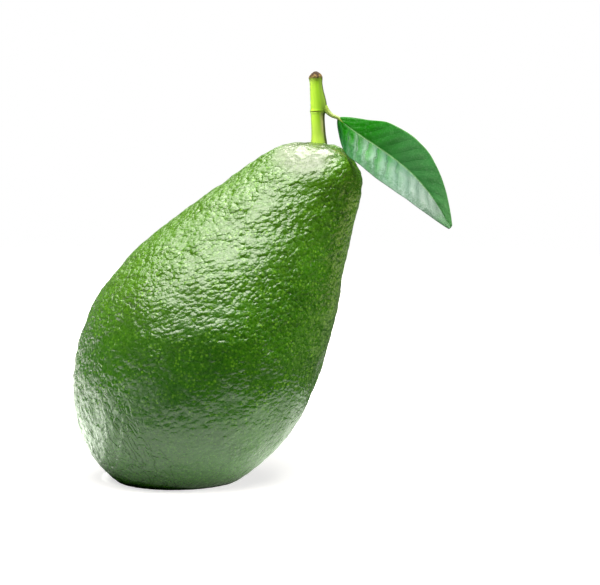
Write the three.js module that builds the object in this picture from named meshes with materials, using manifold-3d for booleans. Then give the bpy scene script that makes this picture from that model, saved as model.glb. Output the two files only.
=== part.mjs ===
// A whole avocado as picked: the fruit, a cut length of its stalk and one small leaf.
// Millimetres, +Z up. The fruit stands on the small flat spot under its belly, whose centre is the
// origin, and leans towards +X. The leaf hangs down to +X, and its upper face looks to -Y.
import * as THREE from "three";
import { mergeVertices } from "three/addons/utils/BufferGeometryUtils.js";
import Module from "manifold-3d";

const wasm = await Module();
wasm.setup();

const degrees = THREE.MathUtils.degToRad;
const clearance = 0.3; // between pieces that touch

// ---- Fruit: its long axis runs from the blossom end (0) to the stalk end (fruitLength) ----
const fruitLength = 119.5;
const bellyRadius = 35.6;
const bellyAlong = 46; // where the fruit is widest
const neckRadius = 19.5;
const neckAlong = 100; // where the neck starts to round over
const neckTaper = 0.37; // radius lost per millimetre there
const depthShare = 0.98; // front to back over side to side
const neckBend = 4.6; // how far the stalk end swings to +X off the straight axis
const bendStart = 35;
const endSlant = 0.17; // the blunt end rises towards +X by this much of its width
const slantAlong = 88; // where that starts
const lean = degrees(29); // of the axis, towards +X
const tiltBack = degrees(11); // of the axis, towards +Y
const bellyCentre = new THREE.Vector3(6.7, 2.5, 37.7); // where the widest ring's centre stands
const fruitSegments = 84;
const fruitRings = 54;

// ---- Skin relief ----
const lumpSize = 8.5; // from one lump to the next
const lumpHeight = 0.22;
const scarRadius = 1.8; // of the dimple at the blossom end
const scarDepth = 0.5;
const dimpleRadius = 6; // round the stalk
const dimpleDepth = 0.8;
const ridgeCount = 9; // ridges that fan out from the stalk
const ridgeHeight = 0.35;
const ridgeReach = 14; // how far from the stalk they fade out
// Places where the neck's end is fuller or flatter than a turned shape
const swellings = [
  { at: new THREE.Vector3(48.5, 15, 97.5), reach: 4.5, height: 1.3 },
  { at: new THREE.Vector3(54.5, 9, 93.5), reach: 5, height: -1.1 },
  { at: new THREE.Vector3(23.5, 14, 94.5), reach: 9, height: 0.9 },
];
const reliefFrom = 1; // height over the ground from which the lumps rise
const reliefFull = 10;

// ---- Stalk: its foot sits in a plain socket in the neck's end ----
const stalkFoot = new THREE.Vector3(42.6, 16.6, 96.1);
const stalkLean = degrees(-3); // towards +X
const stalkLength = 24.2; // foot to cut end
const stalkRadius = 2.3;
const stalkTopRadius = 1.9;
const collar = { along: 4.0, width: 1.9, height: 0.3 }; // where it swells onto the skin
const nodeRing = { along: 13.8, width: 0.5, height: 0.22 }; // where the leaf grows
const cutRim = { along: 23.9, width: 1.0, height: 0.22 };
const bud = { along: 15.4, below: 1.3, above: 4.2, height: 1.15 }; // swelling over the petiole's root
const budTurn = degrees(-25); // the way it faces, from +X
const capHeight = 1.7; // dried end, domed and slanted
const capSlant = 0.06; // rise of the cut end towards +X
const capBand = 1.5; // length of stalk over which the slant comes in
const stalkSegments = 20;
const stalkSteps = 32;

// ---- Leaf: blade, midrib and petiole, which grew as one piece ----
const petioleRadius = 0.6;
const petioleFromStalk = 16.2; // height of its root along the stalk
const petioleSag = 0.5;
const petioleBend = 0.6; // share of its length at which it sags most
const petioleOverlap = 0.05; // share of the blade that it runs under
const leafBase = new THREE.Vector3(48.0, 14.0, 108.1);
const leafTip = new THREE.Vector3(81.7, -7.0, 76.2);
const leafFacing = new THREE.Vector3(0.05, -1, 0.06); // the way its upper face looks
const leafHalfWidth = 10.0;
const leafFold = degrees(33); // each half rises this much from the midrib
const leafBow = 3.5; // how far the midrib bows sideways, away from the fruit
const leafArch = 2.2; // and towards the upper face
const leafThickness = 0.7;
const leafBulge = 0.9; // below 1 the blade is widest nearer its base
const leafFullness = 0.82; // below 1 its ends are blunter
const bowLate = 1.4; // above 1 the bow is deepest past the middle
const blunting = 0.006; // share of the blade that each tip stops short
const veinPairs = 8;
const veinSlant = 0.16; // how far towards the tip a vein runs on its way out, over the leaf's length
const quiltHeight = 0.2; // between the veins the blade swells up
const midribRadius = 0.55; // stands out underneath
const leafSteps = 34;
const leafRows = 9; // in each half

const bump = (x, { along, width, height }) => height * Math.exp(-(((x - along) / width) ** 2));
const smoothstep = (low, high, x) => THREE.MathUtils.smoothstep(x, low, high);

// ---- Helpers between three.js geometry and manifold-3d solids ----

// Makes each seam and pole one vertex, and drops the triangles that this closes up.
function weld(geometry) {
  geometry.deleteAttribute("uv");
  geometry.deleteAttribute("normal");
  const welded = mergeVertices(geometry, 1e-3);
  const corners = Array.from(welded.index.array);
  const kept = [];
  for (let i = 0; i < corners.length; i += 3) {
    const [a, b, c] = corners.slice(i, i + 3);
    if (a !== b && b !== c && c !== a) kept.push(a, b, c);
  }
  welded.setIndex(kept);
  return welded;
}

function toSolid(geometry) {
  const vertProperties = geometry.getAttribute("position").array;
  const triVerts = new Uint32Array(geometry.index.array);
  return new wasm.Manifold(new wasm.Mesh({ numProp: 3, vertProperties, triVerts }));
}

function toGeometry(solid) {
  const { vertProperties, triVerts } = solid.getMesh();
  const geometry = new THREE.BufferGeometry();
  geometry.setAttribute("position", new THREE.BufferAttribute(new Float32Array(vertProperties), 3));
  geometry.setIndex(new THREE.BufferAttribute(new Uint32Array(triVerts), 1));
  geometry.computeVertexNormals();
  return geometry;
}

// Moves each vertex with move(point, outward), where outward is the surface's direction there.
function reshape(geometry, move) {
  geometry.computeVertexNormals();
  const position = geometry.getAttribute("position");
  const normal = geometry.getAttribute("normal").clone();
  const point = new THREE.Vector3();
  const outward = new THREE.Vector3();
  for (let i = 0; i < position.count; i++) {
    move(point.fromBufferAttribute(position, i), outward.fromBufferAttribute(normal, i));
    position.setXYZ(i, point.x, point.y, point.z);
  }
  return geometry;
}

// A solid of revolution about +Z from points (radius, height) that start and end on the axis.
function turned(profile, segments) {
  return weld(new THREE.LatheGeometry(profile, segments).rotateX(Math.PI / 2));
}

// ---- Fruit ----

// A round belly, a tapering neck and a blunt end, as radius against distance along the axis.
function fruitProfile() {
  const roundEnd = 0.5523; // handle that turns a cubic curve into a quarter of an ellipse
  const bellyHandle = 16;
  const neckHandle = 22;
  const shoulderHandle = 10.5;
  const bluntness = 0.8; // share of the neck's radius at which the end turns flat
  const at = (radius, along) => new THREE.Vector2(radius, along);
  const blossomEnd = new THREE.CubicBezierCurve(
    at(0, 0),
    at(bellyRadius * roundEnd, 0),
    at(bellyRadius, bellyAlong * (1 - roundEnd)),
    at(bellyRadius, bellyAlong),
  );
  const neck = new THREE.CubicBezierCurve(
    at(bellyRadius, bellyAlong),
    at(bellyRadius, bellyAlong + bellyHandle),
    at(neckRadius + neckTaper * neckHandle, neckAlong - neckHandle),
    at(neckRadius, neckAlong),
  );
  const stalkEnd = new THREE.CubicBezierCurve(
    at(neckRadius, neckAlong),
    at(neckRadius - neckTaper * shoulderHandle, neckAlong + shoulderHandle),
    at(neckRadius * bluntness, fruitLength),
    at(0, fruitLength),
  );
  const outline = new THREE.CurvePath();
  outline.curves.push(blossomEnd, neck, stalkEnd);
  return outline.getSpacedPoints(fruitRings);
}

// Uneven lumps: waves that cross each other, shifted about by slower ones.
function lumps({ x, y, z }) {
  const step = (2 * Math.PI) / lumpSize;
  const drift = 0.9 * Math.sin(step * (0.31 * x + 0.23 * z)) + 0.8 * Math.sin(step * (0.37 * y - 0.29 * z));
  const across = Math.sin(step * x + drift) * Math.cos(step * z - drift);
  const around = Math.sin(step * y + 1.7 * drift) * Math.cos(step * x) + Math.sin(step * z + drift);
  return lumpHeight * (across + 0.7 * around);
}

// The end of the neck sinks round the stalk, inside ridges that fan out from it.
function stalkDimple(point) {
  const x = point.x - stalkFoot.x;
  const y = point.y - stalkFoot.y;
  const away = Math.hypot(x, y, point.z - stalkFoot.z);
  const sink = dimpleDepth * (1 - smoothstep(0, dimpleRadius, away));
  const band = smoothstep(stalkRadius, dimpleRadius, away) * (1 - smoothstep(dimpleRadius, ridgeReach, away));
  return ridgeHeight * band * Math.cos(ridgeCount * Math.atan2(y, x)) - sink;
}

function fruitSolid() {
  const placement = new THREE.Object3D();
  placement.position.copy(bellyCentre);
  placement.rotation.set(-tiltBack, lean, 0);
  placement.updateMatrix();
  const body = reshape(turned(fruitProfile(), fruitSegments), (point) => {
    const pastBelly = Math.max(0, point.z - bendStart) / (fruitLength - bendStart);
    point.z += endSlant * point.x * smoothstep(slantAlong, fruitLength, point.z) - bellyAlong;
    point.x += neckBend * pastBelly ** 2;
    point.y *= depthShare;
    point.applyMatrix4(placement.matrix);
  });
  const blossomEnd = new THREE.Vector3(0, 0, -bellyAlong).applyMatrix4(placement.matrix);
  const skin = reshape(body, (point, outward) => {
    const scar = scarDepth * Math.exp(-((point.distanceTo(blossomEnd) / scarRadius) ** 2));
    const lump = lumps(point) * smoothstep(reliefFrom, reliefFull, point.z);
    let swell = 0;
    for (const { at, reach, height } of swellings) {
      swell += height * Math.exp(-((point.distanceTo(at) / reach) ** 2));
    }
    point.addScaledVector(outward, lump + swell + stalkDimple(point) - scar);
  });
  const size = 2 * fruitLength;
  const ground = new THREE.BoxGeometry(size, size, size).translate(0, 0, -size / 2);
  return toSolid(skin).subtract(toSolid(weld(ground))).subtract(stalkSolid(clearance));
}

// ---- Stalk ----

// The stalk, or with extra the room that it takes up, so much larger all round.
function stalkSolid(extra = 0) {
  const profile = [new THREE.Vector2(0, -extra)];
  for (let i = 0; i <= stalkSteps; i++) {
    const along = (stalkLength * i) / stalkSteps;
    const shaft = THREE.MathUtils.lerp(stalkRadius, stalkTopRadius, along / stalkLength);
    const swell = bump(along, collar) + bump(along, nodeRing) + bump(along, cutRim);
    profile.push(new THREE.Vector2(shaft + swell + extra, i === 0 ? -extra : along));
  }
  profile.push(new THREE.Vector2(stalkTopRadius * 0.75 + extra, stalkLength + capHeight * 0.7));
  profile.push(new THREE.Vector2(0, stalkLength + capHeight + extra));
  const geometry = reshape(turned(profile, stalkSegments), (point) => {
    const facing = Math.max(0, Math.cos(Math.atan2(point.y, point.x) - budTurn)) ** 3;
    const outside = smoothstep(0, stalkTopRadius, Math.hypot(point.x, point.y));
    const width = point.z > bud.along ? bud.above : bud.below;
    const swell = bump(point.z, { ...bud, width }) * facing * outside;
    point.x += swell * Math.cos(budTurn);
    point.y += swell * Math.sin(budTurn);
    point.z += capSlant * point.x * smoothstep(stalkLength - capBand, stalkLength, point.z);
  });
  return toSolid(geometry.applyMatrix4(stalkPlacement()));
}

function stalkPlacement() {
  const placement = new THREE.Object3D();
  placement.position.copy(stalkFoot);
  placement.rotation.set(0, stalkLean, 0);
  placement.updateMatrix();
  return placement.matrix;
}

// ---- Leaf ----

const leafLength = leafBase.distanceTo(leafTip);

// The blade's own frame: +X from base to tip, +Z out of the upper face, the midrib near Y = 0.
function leafPlacement() {
  const alongAxis = leafTip.clone().sub(leafBase).normalize();
  const outAxis = leafFacing.clone().addScaledVector(alongAxis, -leafFacing.dot(alongAxis)).normalize();
  const acrossAxis = outAxis.clone().cross(alongAxis);
  return new THREE.Matrix4().makeBasis(alongAxis, acrossAxis, outAxis).setPosition(leafBase);
}

// A point of the blade's middle surface: share runs 0 to 1 to the tip, and across -1 to 1 to the edges.
function bladePoint(share, across) {
  const out = Math.abs(across);
  const halfWidth = leafHalfWidth * Math.sin(Math.PI * share ** leafBulge) ** leafFullness;
  const betweenVeins = Math.sin(Math.PI * veinPairs * (share - veinSlant * out)) ** 2;
  const quilt = quiltHeight * betweenVeins * Math.sin(Math.PI * out) * Math.sin(Math.PI * share);
  const bow = Math.sin(Math.PI * share ** bowLate);
  return new THREE.Vector3(
    leafLength * share,
    leafBow * bow + halfWidth * across * Math.cos(leafFold),
    leafArch * bow + halfWidth * out * Math.sin(leafFold) + quilt,
  );
}

// Both faces of the blade have the same grid of points, leafThickness apart, and the rim joins them.
function bladeSolid() {
  const columns = 2 * leafRows + 1;
  const vertices = [];
  for (const side of [1, -1]) {
    for (let i = 0; i <= leafSteps; i++) {
      const share = THREE.MathUtils.lerp(blunting, 1 - blunting, i / leafSteps);
      for (let j = 0; j < columns; j++) {
        const across = (j - leafRows) / leafRows;
        const point = bladePoint(share, across);
        const rib = j === leafRows ? midribRadius * (1 - 0.8 * share) : 0;
        point.z += side > 0 ? leafThickness / 2 : -leafThickness / 2 - rib;
        vertices.push(point.x, point.y, point.z);
      }
    }
  }
  const triangles = [];
  const quad = (a, b, c, d) => triangles.push(a, b, c, a, c, d);
  const under = (leafSteps + 1) * columns; // how far on an upper vertex's lower twin is
  const lastRow = leafSteps * columns;
  for (let i = 0; i < leafSteps; i++) {
    const row = i * columns;
    for (let j = row; j < row + columns - 1; j++) {
      quad(j, j + columns, j + columns + 1, j + 1);
      triangles.push(under + j, under + j + columns + 1, under + j + columns);
      triangles.push(under + j, under + j + 1, under + j + columns + 1);
    }
    const end = row + columns - 1;
    quad(row, under + row, under + row + columns, row + columns);
    quad(end, end + columns, under + end + columns, under + end);
  }
  for (let j = 0; j < columns - 1; j++) {
    quad(j, j + 1, under + j + 1, under + j);
    quad(lastRow + j, under + lastRow + j, under + lastRow + j + 1, lastRow + j + 1);
  }
  const geometry = new THREE.BufferGeometry();
  geometry.setAttribute("position", new THREE.BufferAttribute(new Float32Array(vertices), 3));
  geometry.setIndex(triangles);
  return toSolid(geometry.applyMatrix4(leafPlacement()));
}

// From inside the stalk to a little way under the blade's midrib.
function petioleSolid() {
  const root = new THREE.Vector3(0, 0, petioleFromStalk).applyMatrix4(stalkPlacement());
  const middle = root.clone().lerp(leafBase, petioleBend);
  middle.z -= petioleSag;
  const underMidrib = bladePoint(petioleOverlap, 0).applyMatrix4(leafPlacement());
  const path = new THREE.CatmullRomCurve3([root, middle, leafBase, underMidrib]);
  const section = new THREE.Shape().absellipse(0, 0, petioleRadius, petioleRadius, 0, 2 * Math.PI);
  const tube = new THREE.ExtrudeGeometry(section, { extrudePath: path, steps: 14, curveSegments: 10 });
  return toSolid(weld(tube));
}

function leafSolid() {
  return bladeSolid().add(petioleSolid()).subtract(stalkSolid(clearance));
}

// ---- The part ----

function piece(name, solid, color, roughness) {
  const mesh = new THREE.Mesh(
    toGeometry(solid),
    new THREE.MeshStandardMaterial({ color, roughness, metalness: 0 }),
  );
  mesh.name = name;
  return mesh;
}

const avocado = new THREE.Group();
avocado.add(
  piece("fruit", fruitSolid(), 0x3f7a1a, 0.4),
  piece("stalk", stalkSolid(), 0x8fbe3a, 0.55),
  piece("leaf", leafSolid(), 0x2c7a33, 0.45),
);

export default avocado;
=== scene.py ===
import math

import bmesh
import bpy
from mathutils import Matrix, Vector
from mathutils.geometry import interpolate_bezier


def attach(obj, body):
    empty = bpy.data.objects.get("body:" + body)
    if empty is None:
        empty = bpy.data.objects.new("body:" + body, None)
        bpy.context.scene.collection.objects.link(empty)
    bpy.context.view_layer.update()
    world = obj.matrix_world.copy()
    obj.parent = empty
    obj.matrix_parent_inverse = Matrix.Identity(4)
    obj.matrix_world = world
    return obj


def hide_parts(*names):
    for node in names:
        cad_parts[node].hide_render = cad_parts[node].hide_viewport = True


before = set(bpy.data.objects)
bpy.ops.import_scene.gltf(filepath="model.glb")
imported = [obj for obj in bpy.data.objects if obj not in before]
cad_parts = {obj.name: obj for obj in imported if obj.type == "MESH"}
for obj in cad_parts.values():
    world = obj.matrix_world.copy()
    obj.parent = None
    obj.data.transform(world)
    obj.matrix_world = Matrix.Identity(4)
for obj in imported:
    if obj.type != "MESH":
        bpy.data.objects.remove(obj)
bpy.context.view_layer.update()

# Places are in metres, and the patterns on the fruit, stalk and leaf in millimetres.
# The fruit stands on the ground at z = 0 and leans to +X, and its leaf hangs to +X.
mm = 0.001
hair = 0.001 * mm        # less than any gap between vertices
body = "root"
stalkFoot = Vector((42.6, 16.6, 96.1)) * mm
lowLeft = (-0.82, 0, -0.57)        # the way to the fruit's creased flank


def smooth(low, high, x):
    # soft step from 0 at low to 1 at high
    t = min(1, max(0, (x - low) / (high - low)))
    return t * t * (3 - 2 * t)


def rising(start, share):
    # start where the share is 0, and 1 where it is 1
    return start + (1 - start) * share


def bell(x, centre, width):
    return math.exp(-(((x - centre) / width) ** 2))


def dimmed(colour, share):
    return [c * share for c in colour]


def uneven(value, amount, noise):
    # a noise, whose middle is 0.5, moves the value either way
    return value + amount * (noise - 0.5)


# helpers for modelling

def deselectAll():
    if bpy.context.object and bpy.context.object.mode != "OBJECT":
        bpy.ops.object.mode_set(mode="OBJECT")
    bpy.ops.object.select_all(action="DESELECT")


def openAll():
    bpy.ops.object.mode_set(mode="EDIT")
    bpy.ops.mesh.select_all(action="SELECT")


def startEdit(name):
    piece = bpy.context.object
    piece.name = piece.data.name = name
    openAll()
    bpy.ops.mesh.select_mode(type="VERT")
    return piece


def pick(piece, wanted):
    # selects the vertices whose place passes the test
    cage = bmesh.from_edit_mesh(piece.data)
    for v in cage.verts:
        v.select_set(wanted(v.co))
    cage.select_flush_mode()
    bmesh.update_edit_mesh(piece.data)


def turn(degrees, axis, centre=(0, 0, 0)):
    # without a window the operator turns the other way
    bpy.ops.transform.rotate(value=-math.radians(degrees), orient_axis=axis, center_override=centre)


def extrudeRing(step, growth, centre):
    bpy.ops.mesh.extrude_edges_move(TRANSFORM_OT_translate={"value": step})
    bpy.ops.transform.resize(value=(growth, growth, growth), center_override=centre)


def closeRing(tip):
    # runs the open ring into one point
    cage = bmesh.from_edit_mesh(bpy.context.object.data)
    ring = [v.co for v in cage.verts if v.select]
    middle = sum(ring, Vector()) / len(ring)
    bpy.ops.mesh.extrude_edges_move(TRANSFORM_OT_translate={"value": Vector(tip) - middle})
    bpy.ops.mesh.merge(type="CENTER")


def applyModifier(piece, kind, **settings):
    modifier = piece.modifiers.new(kind.title(), kind)
    for key, value in settings.items():
        setattr(modifier, key, value)
    bpy.context.view_layer.objects.active = piece
    bpy.ops.object.modifier_apply(modifier=modifier.name)


def subdivide(piece, levels):
    applyModifier(piece, "SUBSURF", levels=levels, render_levels=levels)


def weigh(piece, name, share):
    # a vertex group whose weights are a formula of place
    faintest = 0.002
    group = piece.vertex_groups.new(name=name)
    for v in piece.data.vertices:
        weight = share(v.co)
        if weight > faintest:
            group.add([v.index], min(1, weight), "REPLACE")
    return name


def relief(
    piece, height, pattern=None, size=1 * mm, middle=0.5, group="", stretch=None, turned=(0, 0, 0), **looks
):
    # displaces along the normals by a texture, which may be stretched and turned
    settings = {"strength": height, "mid_level": middle, "vertex_group": group}
    guide = None
    if pattern:
        made = bpy.data.textures.new(pattern.title(), pattern)
        made.noise_scale = size
        for key, value in looks.items():
            setattr(made, key, value)
        settings.update(texture=made, texture_coords="LOCAL")
    if stretch:
        bpy.ops.object.empty_add(rotation=[math.radians(a) for a in turned])
        guide = bpy.context.object
        guide.scale = stretch
        bpy.context.view_layer.update()
        settings.update(texture_coords="OBJECT", texture_coords_object=guide)
    applyModifier(piece, "DISPLACE", **settings)
    if guide:
        bpy.data.objects.remove(guide)


def finishPiece(piece, node, slot, *materials):
    for made in materials:
        piece.data.materials.append(made)
    deselectAll()
    piece.select_set(True)
    bpy.context.view_layer.objects.active = piece
    bpy.ops.object.shade_smooth()
    piece.vertex_groups.clear()
    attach(piece, body)
    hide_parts(node)
    print(piece.name, "has", len(piece.data.polygons), "faces")


# helpers for materials

class Wire:
    # a number socket, on which sums add Math nodes
    def __init__(self, maker, socket):
        self.maker, self.socket = maker, socket

    def do(self, operation, *values):
        made = self.maker.node("ShaderNodeMath", {"operation": operation}, dict(enumerate(values)))
        return Wire(self.maker, made.outputs[0])

    def __add__(self, other):
        return self.do("ADD", self, other)

    def __sub__(self, other):
        return self.do("SUBTRACT", self, other)

    def __rsub__(self, other):
        return self.do("SUBTRACT", other, self)

    def __mul__(self, other):
        return self.do("MULTIPLY", self, other)

    def __neg__(self):
        return self.do("MULTIPLY", self, -1)

    def __abs__(self):
        return self.do("ABSOLUTE", self)

    def fraction(self):
        return self.do("FRACT", self)

    def orMore(self, other):
        return self.do("MAXIMUM", self, other)

    __radd__ = __add__
    __rmul__ = __mul__


class Maker:
    # builds the nodes of one material or of the world
    def __init__(self, owner):
        if isinstance(owner, str):
            owner = bpy.data.materials.new(owner)
        owner.use_nodes = True
        self.made = owner
        self.tree = owner.node_tree
        self.tree.nodes.clear()

    def feed(self, socket, value):
        if isinstance(value, Wire):
            value = value.socket
        if isinstance(value, bpy.types.NodeSocket):
            self.tree.links.new(value, socket)
        else:
            socket.default_value = value

    def node(self, kind, settings=None, sockets=None):
        made = self.tree.nodes.new(kind)
        for key, value in (settings or {}).items():
            setattr(made, key, value)
        for key, value in (sockets or {}).items():
            self.feed(made.inputs[key], value)
        return made

    def read(self, kind, output):
        return Wire(self, self.node(kind).outputs[output])

    def vectorMath(self, operation, values):
        return self.node("ShaderNodeVectorMath", {"operation": operation}, dict(enumerate(values))).outputs

    def vectors(self, operation, *values):
        # vector sums that give a vector
        return self.vectorMath(operation, values)["Vector"]

    def measure(self, operation, *values):
        # vector sums that give a number
        return Wire(self, self.vectorMath(operation, values)["Value"])

    def reach(self, where, direction):
        # how far a place lies along a direction
        return self.measure("DOT_PRODUCT", where, direction)

    def place(self, stretch=(1, 1, 1), turned=(0, 0, 0), centre=(0, 0, 0)):
        # object coordinates in millimetres about a centre, on turned axes, longer where stretch is over 1
        moved = self.vectors("SUBTRACT", self.read("ShaderNodeTexCoord", "Object"), centre)
        angles = [-math.radians(a) for a in turned]
        spun = self.node("ShaderNodeMapping", {"vector_type": "POINT"}, {0: moved, "Rotation": angles})
        return self.vectors("MULTIPLY", spun.outputs[0], [1 / (s * mm) for s in stretch])

    def axes(self, vector):
        made = self.node("ShaderNodeSeparateXYZ", None, {0: vector})
        return [Wire(self, socket) for socket in made.outputs]

    def noise(self, where, size, detail=2, roughness=0.5, distortion=0):
        made = self.node("ShaderNodeTexNoise", None, {
            "Vector": where, "Scale": 1 / size, "Detail": detail, "Roughness": roughness,
            "Distortion": distortion,
        })
        return Wire(self, made.outputs["Fac"])

    def cells(self, where, size):
        made = self.node("ShaderNodeTexVoronoi", {"feature": "F1"}, {"Vector": where, "Scale": 1 / size})
        return Wire(self, made.outputs["Distance"])

    def span(self, value, low, high, start=0, end=1):
        # soft step of a number from low to high
        made = self.node("ShaderNodeMapRange", {"interpolation_type": "SMOOTHSTEP"}, {
            "Value": value, "From Min": low, "From Max": high, "To Min": start, "To Max": end,
        })
        return Wire(self, made.outputs["Result"])

    def mix(self, share, first, second):
        made = self.node("ShaderNodeMix", {"data_type": "RGBA"}, {0: share, 6: first, 7: second})
        return made.outputs[2]

    def bump(self, height, distance, normal=None):
        made = self.node("ShaderNodeBump", None, {"Height": height, "Distance": distance})
        if normal is not None:
            self.feed(made.inputs["Normal"], normal)
        return made.outputs["Normal"]

    def surface(self, shader):
        self.node("ShaderNodeOutputMaterial", None, {"Surface": shader})
        return self.made

    def finish(self, sockets, through=None):
        # through is the share and the colour of the light that passes the piece
        shader = self.node("ShaderNodeBsdfPrincipled", None, sockets).outputs["BSDF"]
        if through:
            share, colour = through
            passing = self.node("ShaderNodeBsdfTranslucent", None, {"Color": colour}).outputs[0]
            shader = self.node("ShaderNodeMixShader", None, {0: share, 1: shader, 2: passing}).outputs[0]
        return self.surface(shader)


# camera, floor and light

view = {
    "target": (36.6 * mm, 0, 56.67 * mm),
    "distance": 0.75,
    "elevation": 8,
    "lens": 150,
    "farthest": 20,
}


def aimed(direction):
    return direction.to_track_quat("-Z", "Y")


def addCamera():
    elevation = math.radians(view["elevation"])
    back = Vector((0, -math.cos(elevation), math.sin(elevation)))
    bpy.ops.object.camera_add(location=Vector(view["target"]) + back * view["distance"])
    camera = bpy.context.object
    camera.rotation_mode = "QUATERNION"
    camera.rotation_quaternion = aimed(-back)
    camera.data.lens = view["lens"]
    camera.data.clip_end = view["farthest"]
    bpy.context.scene.camera = camera


floorLook = {
    "radius": 0.8,
    "sides": 96,
    "at": (0, 0, -0.05 * mm),
    "fade": (0.22, 0.6),
    "paper": (0.6, 0.6, 0.6, 1),
    "paperGlow": 0.65,
    "shaded": (0.03, 0.03, 0.03, 1),
    "lit": (0.6, 0.6, 0.6, 1),
    "litGlow": 0.9,
    "litUpTo": (0.03, 0.1),
    "frontUpTo": (0.02, 0.08),
    "frontFrom": (-0.16, -0.08),
    "rightFrom": (0.14, 0.24),
    "rightBehind": (0, 0.06),
    "rightGlow": 2.1,
    "rightTint": (0.75, 1, 0.2, 1),
}


def floorPaper():
    # The camera sees pale paper that fades into the page, or from below nothing. All else meets paper that
    # is dark in front and on the right, with a tinted glow at the far right.
    look = floorLook
    paper = Maker("floorPaper")
    where = paper.read("ShaderNodeTexCoord", "Object")
    x, y = paper.axes(where)[:2]
    front = 1 - paper.span(y, *look["frontUpTo"])
    lit = (1 - paper.span(x, *look["litUpTo"])) * (1 - front * paper.span(x, *look["frontFrom"]))
    right = paper.span(x, *look["rightFrom"]) * paper.span(y, *look["rightBehind"])
    seen = paper.read("ShaderNodeLightPath", "Is Camera Ray")
    shade = paper.mix(seen, paper.mix(lit, look["shaded"], look["lit"]), look["paper"])
    matt = paper.node("ShaderNodeBsdfDiffuse", None, {"Color": shade})
    thrown = lit * look["litGlow"] + right * look["rightGlow"]
    glow = paper.node("ShaderNodeEmission", None, {
        "Color": paper.mix((1 - seen) * right, (1, 1, 1, 1), look["rightTint"]),
        "Strength": seen * look["paperGlow"] + (1 - seen) * thrown,
    })
    both = paper.node("ShaderNodeAddShader", None, {0: matt.outputs[0], 1: glow.outputs[0]})
    clear = paper.node("ShaderNodeBsdfTransparent")
    under = paper.read("ShaderNodeNewGeometry", "Backfacing")
    gone = under.orMore(paper.span(paper.measure("LENGTH", where), *look["fade"]))
    mixed = paper.node("ShaderNodeMixShader", None, {0: gone, 1: both.outputs[0], 2: clear.outputs[0]})
    return paper.surface(mixed.outputs[0])


def addFloor():
    look = floorLook
    bpy.ops.mesh.primitive_circle_add(
        vertices=look["sides"], radius=look["radius"], fill_type="NGON", location=look["at"]
    )
    floor = bpy.context.object
    floor.name = "floor"
    floor.data.materials.append(floorPaper())


glowRing = {
    "centre": (-3 * mm, 2 * mm, 0.5 * mm),
    "radii": (21 * mm, 130 * mm),
    "sides": 48,
    "brightness": 1.85,
    "dimmer": 0.15,
    "dimUpTo": 1.7,        # inner radii from the centre
    "tint": (0.94, 1, 0.88, 1),
    "fade": (70 * mm, 95 * mm),
    "leftBack": (-0.8, 0.6, 0),
    "leftBackReach": (15 * mm, 50 * mm),
    "leftBackGlow": 3.8,
}


def ringGlow():
    # the ring's faces point down, and their backs light the fruit above
    look = glowRing
    inner = look["radii"][0]
    lamp = Maker("glow")
    upward = lamp.read("ShaderNodeNewGeometry", "Backfacing")
    where = lamp.read("ShaderNodeTexCoord", "Object")
    away = lamp.measure("LENGTH", where)
    bright = lamp.span(away, inner, inner * look["dimUpTo"], look["dimmer"], 1) * look["brightness"]
    sector = lamp.span(lamp.reach(where, look["leftBack"]), *look["leftBackReach"])
    bright = bright * (1 - lamp.span(away, *look["fade"])) + sector * look["leftBackGlow"]
    glow = lamp.node("ShaderNodeEmission", None, {"Color": look["tint"], "Strength": upward * bright})
    return lamp.surface(glow.outputs[0])


def addGlowRing():
    # lights the underside from close round the fruit, and isn't seen itself
    inner, outer = glowRing["radii"]
    bpy.ops.mesh.primitive_circle_add(vertices=glowRing["sides"], radius=inner, location=glowRing["centre"])
    ring = startEdit("glowRing")
    extrudeRing((0, 0, 0), outer / inner, glowRing["centre"])
    bpy.ops.object.mode_set(mode="OBJECT")
    ring.data.materials.append(ringGlow())
    ring.visible_camera = ring.visible_shadow = False


lamps = {
    "softboxFront": {"at": (-0.14, -0.37, 0.85), "size": (1.12, 0.48), "watts": 18},
    "softboxBack": {"at": (0.2, 0.44, 0.85), "size": (0.58, 0.82), "watts": 15.2},
    "softboxDim": {"at": (-0.37, 0.6, 0.85), "size": (0.56, 1.3), "watts": 7.9},
    "fillAbove": {"at": (-0.3, 0.1, 0.9), "size": (0.8, 0.8), "watts": 6.5, "matt": True},
    "fillRight": {
        "at": (0.75, -0.04, 0.22), "size": (0.4, 0.4), "watts": 5.1, "matt": True, "target": (0, 0, 0.05),
    },
}
lampTint = (1, 0.98, 0.9)


def addLamps():
    # they shine straight down without a target, and the matt ones leave no reflection of their own
    for name, lamp in lamps.items():
        bpy.ops.object.light_add(type="AREA", location=lamp["at"])
        light = bpy.context.object
        light.name = name
        light.data.shape = "RECTANGLE"
        light.data.size, light.data.size_y = lamp["size"]
        light.data.energy = lamp["watts"]
        light.data.color = lampTint
        light.visible_camera = False
        light.visible_glossy = not lamp.get("matt")
        if "target" in lamp:
            light.rotation_mode = "QUATERNION"
            light.rotation_quaternion = aimed(Vector(lamp["target"]) - Vector(lamp["at"]))
    print("studio lit")


roomLook = {
    "page": 1.0,
    "inFront": 0.03,
    "behind": 0.25,
    "behindFrom": (-0.05, 0.32),
    "rightShade": 0.9,
    "rightFrom": (-0.1, 0.6),
    "topShade": 0.8,
    "topFrom": (0.05, 0.35),
}


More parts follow.
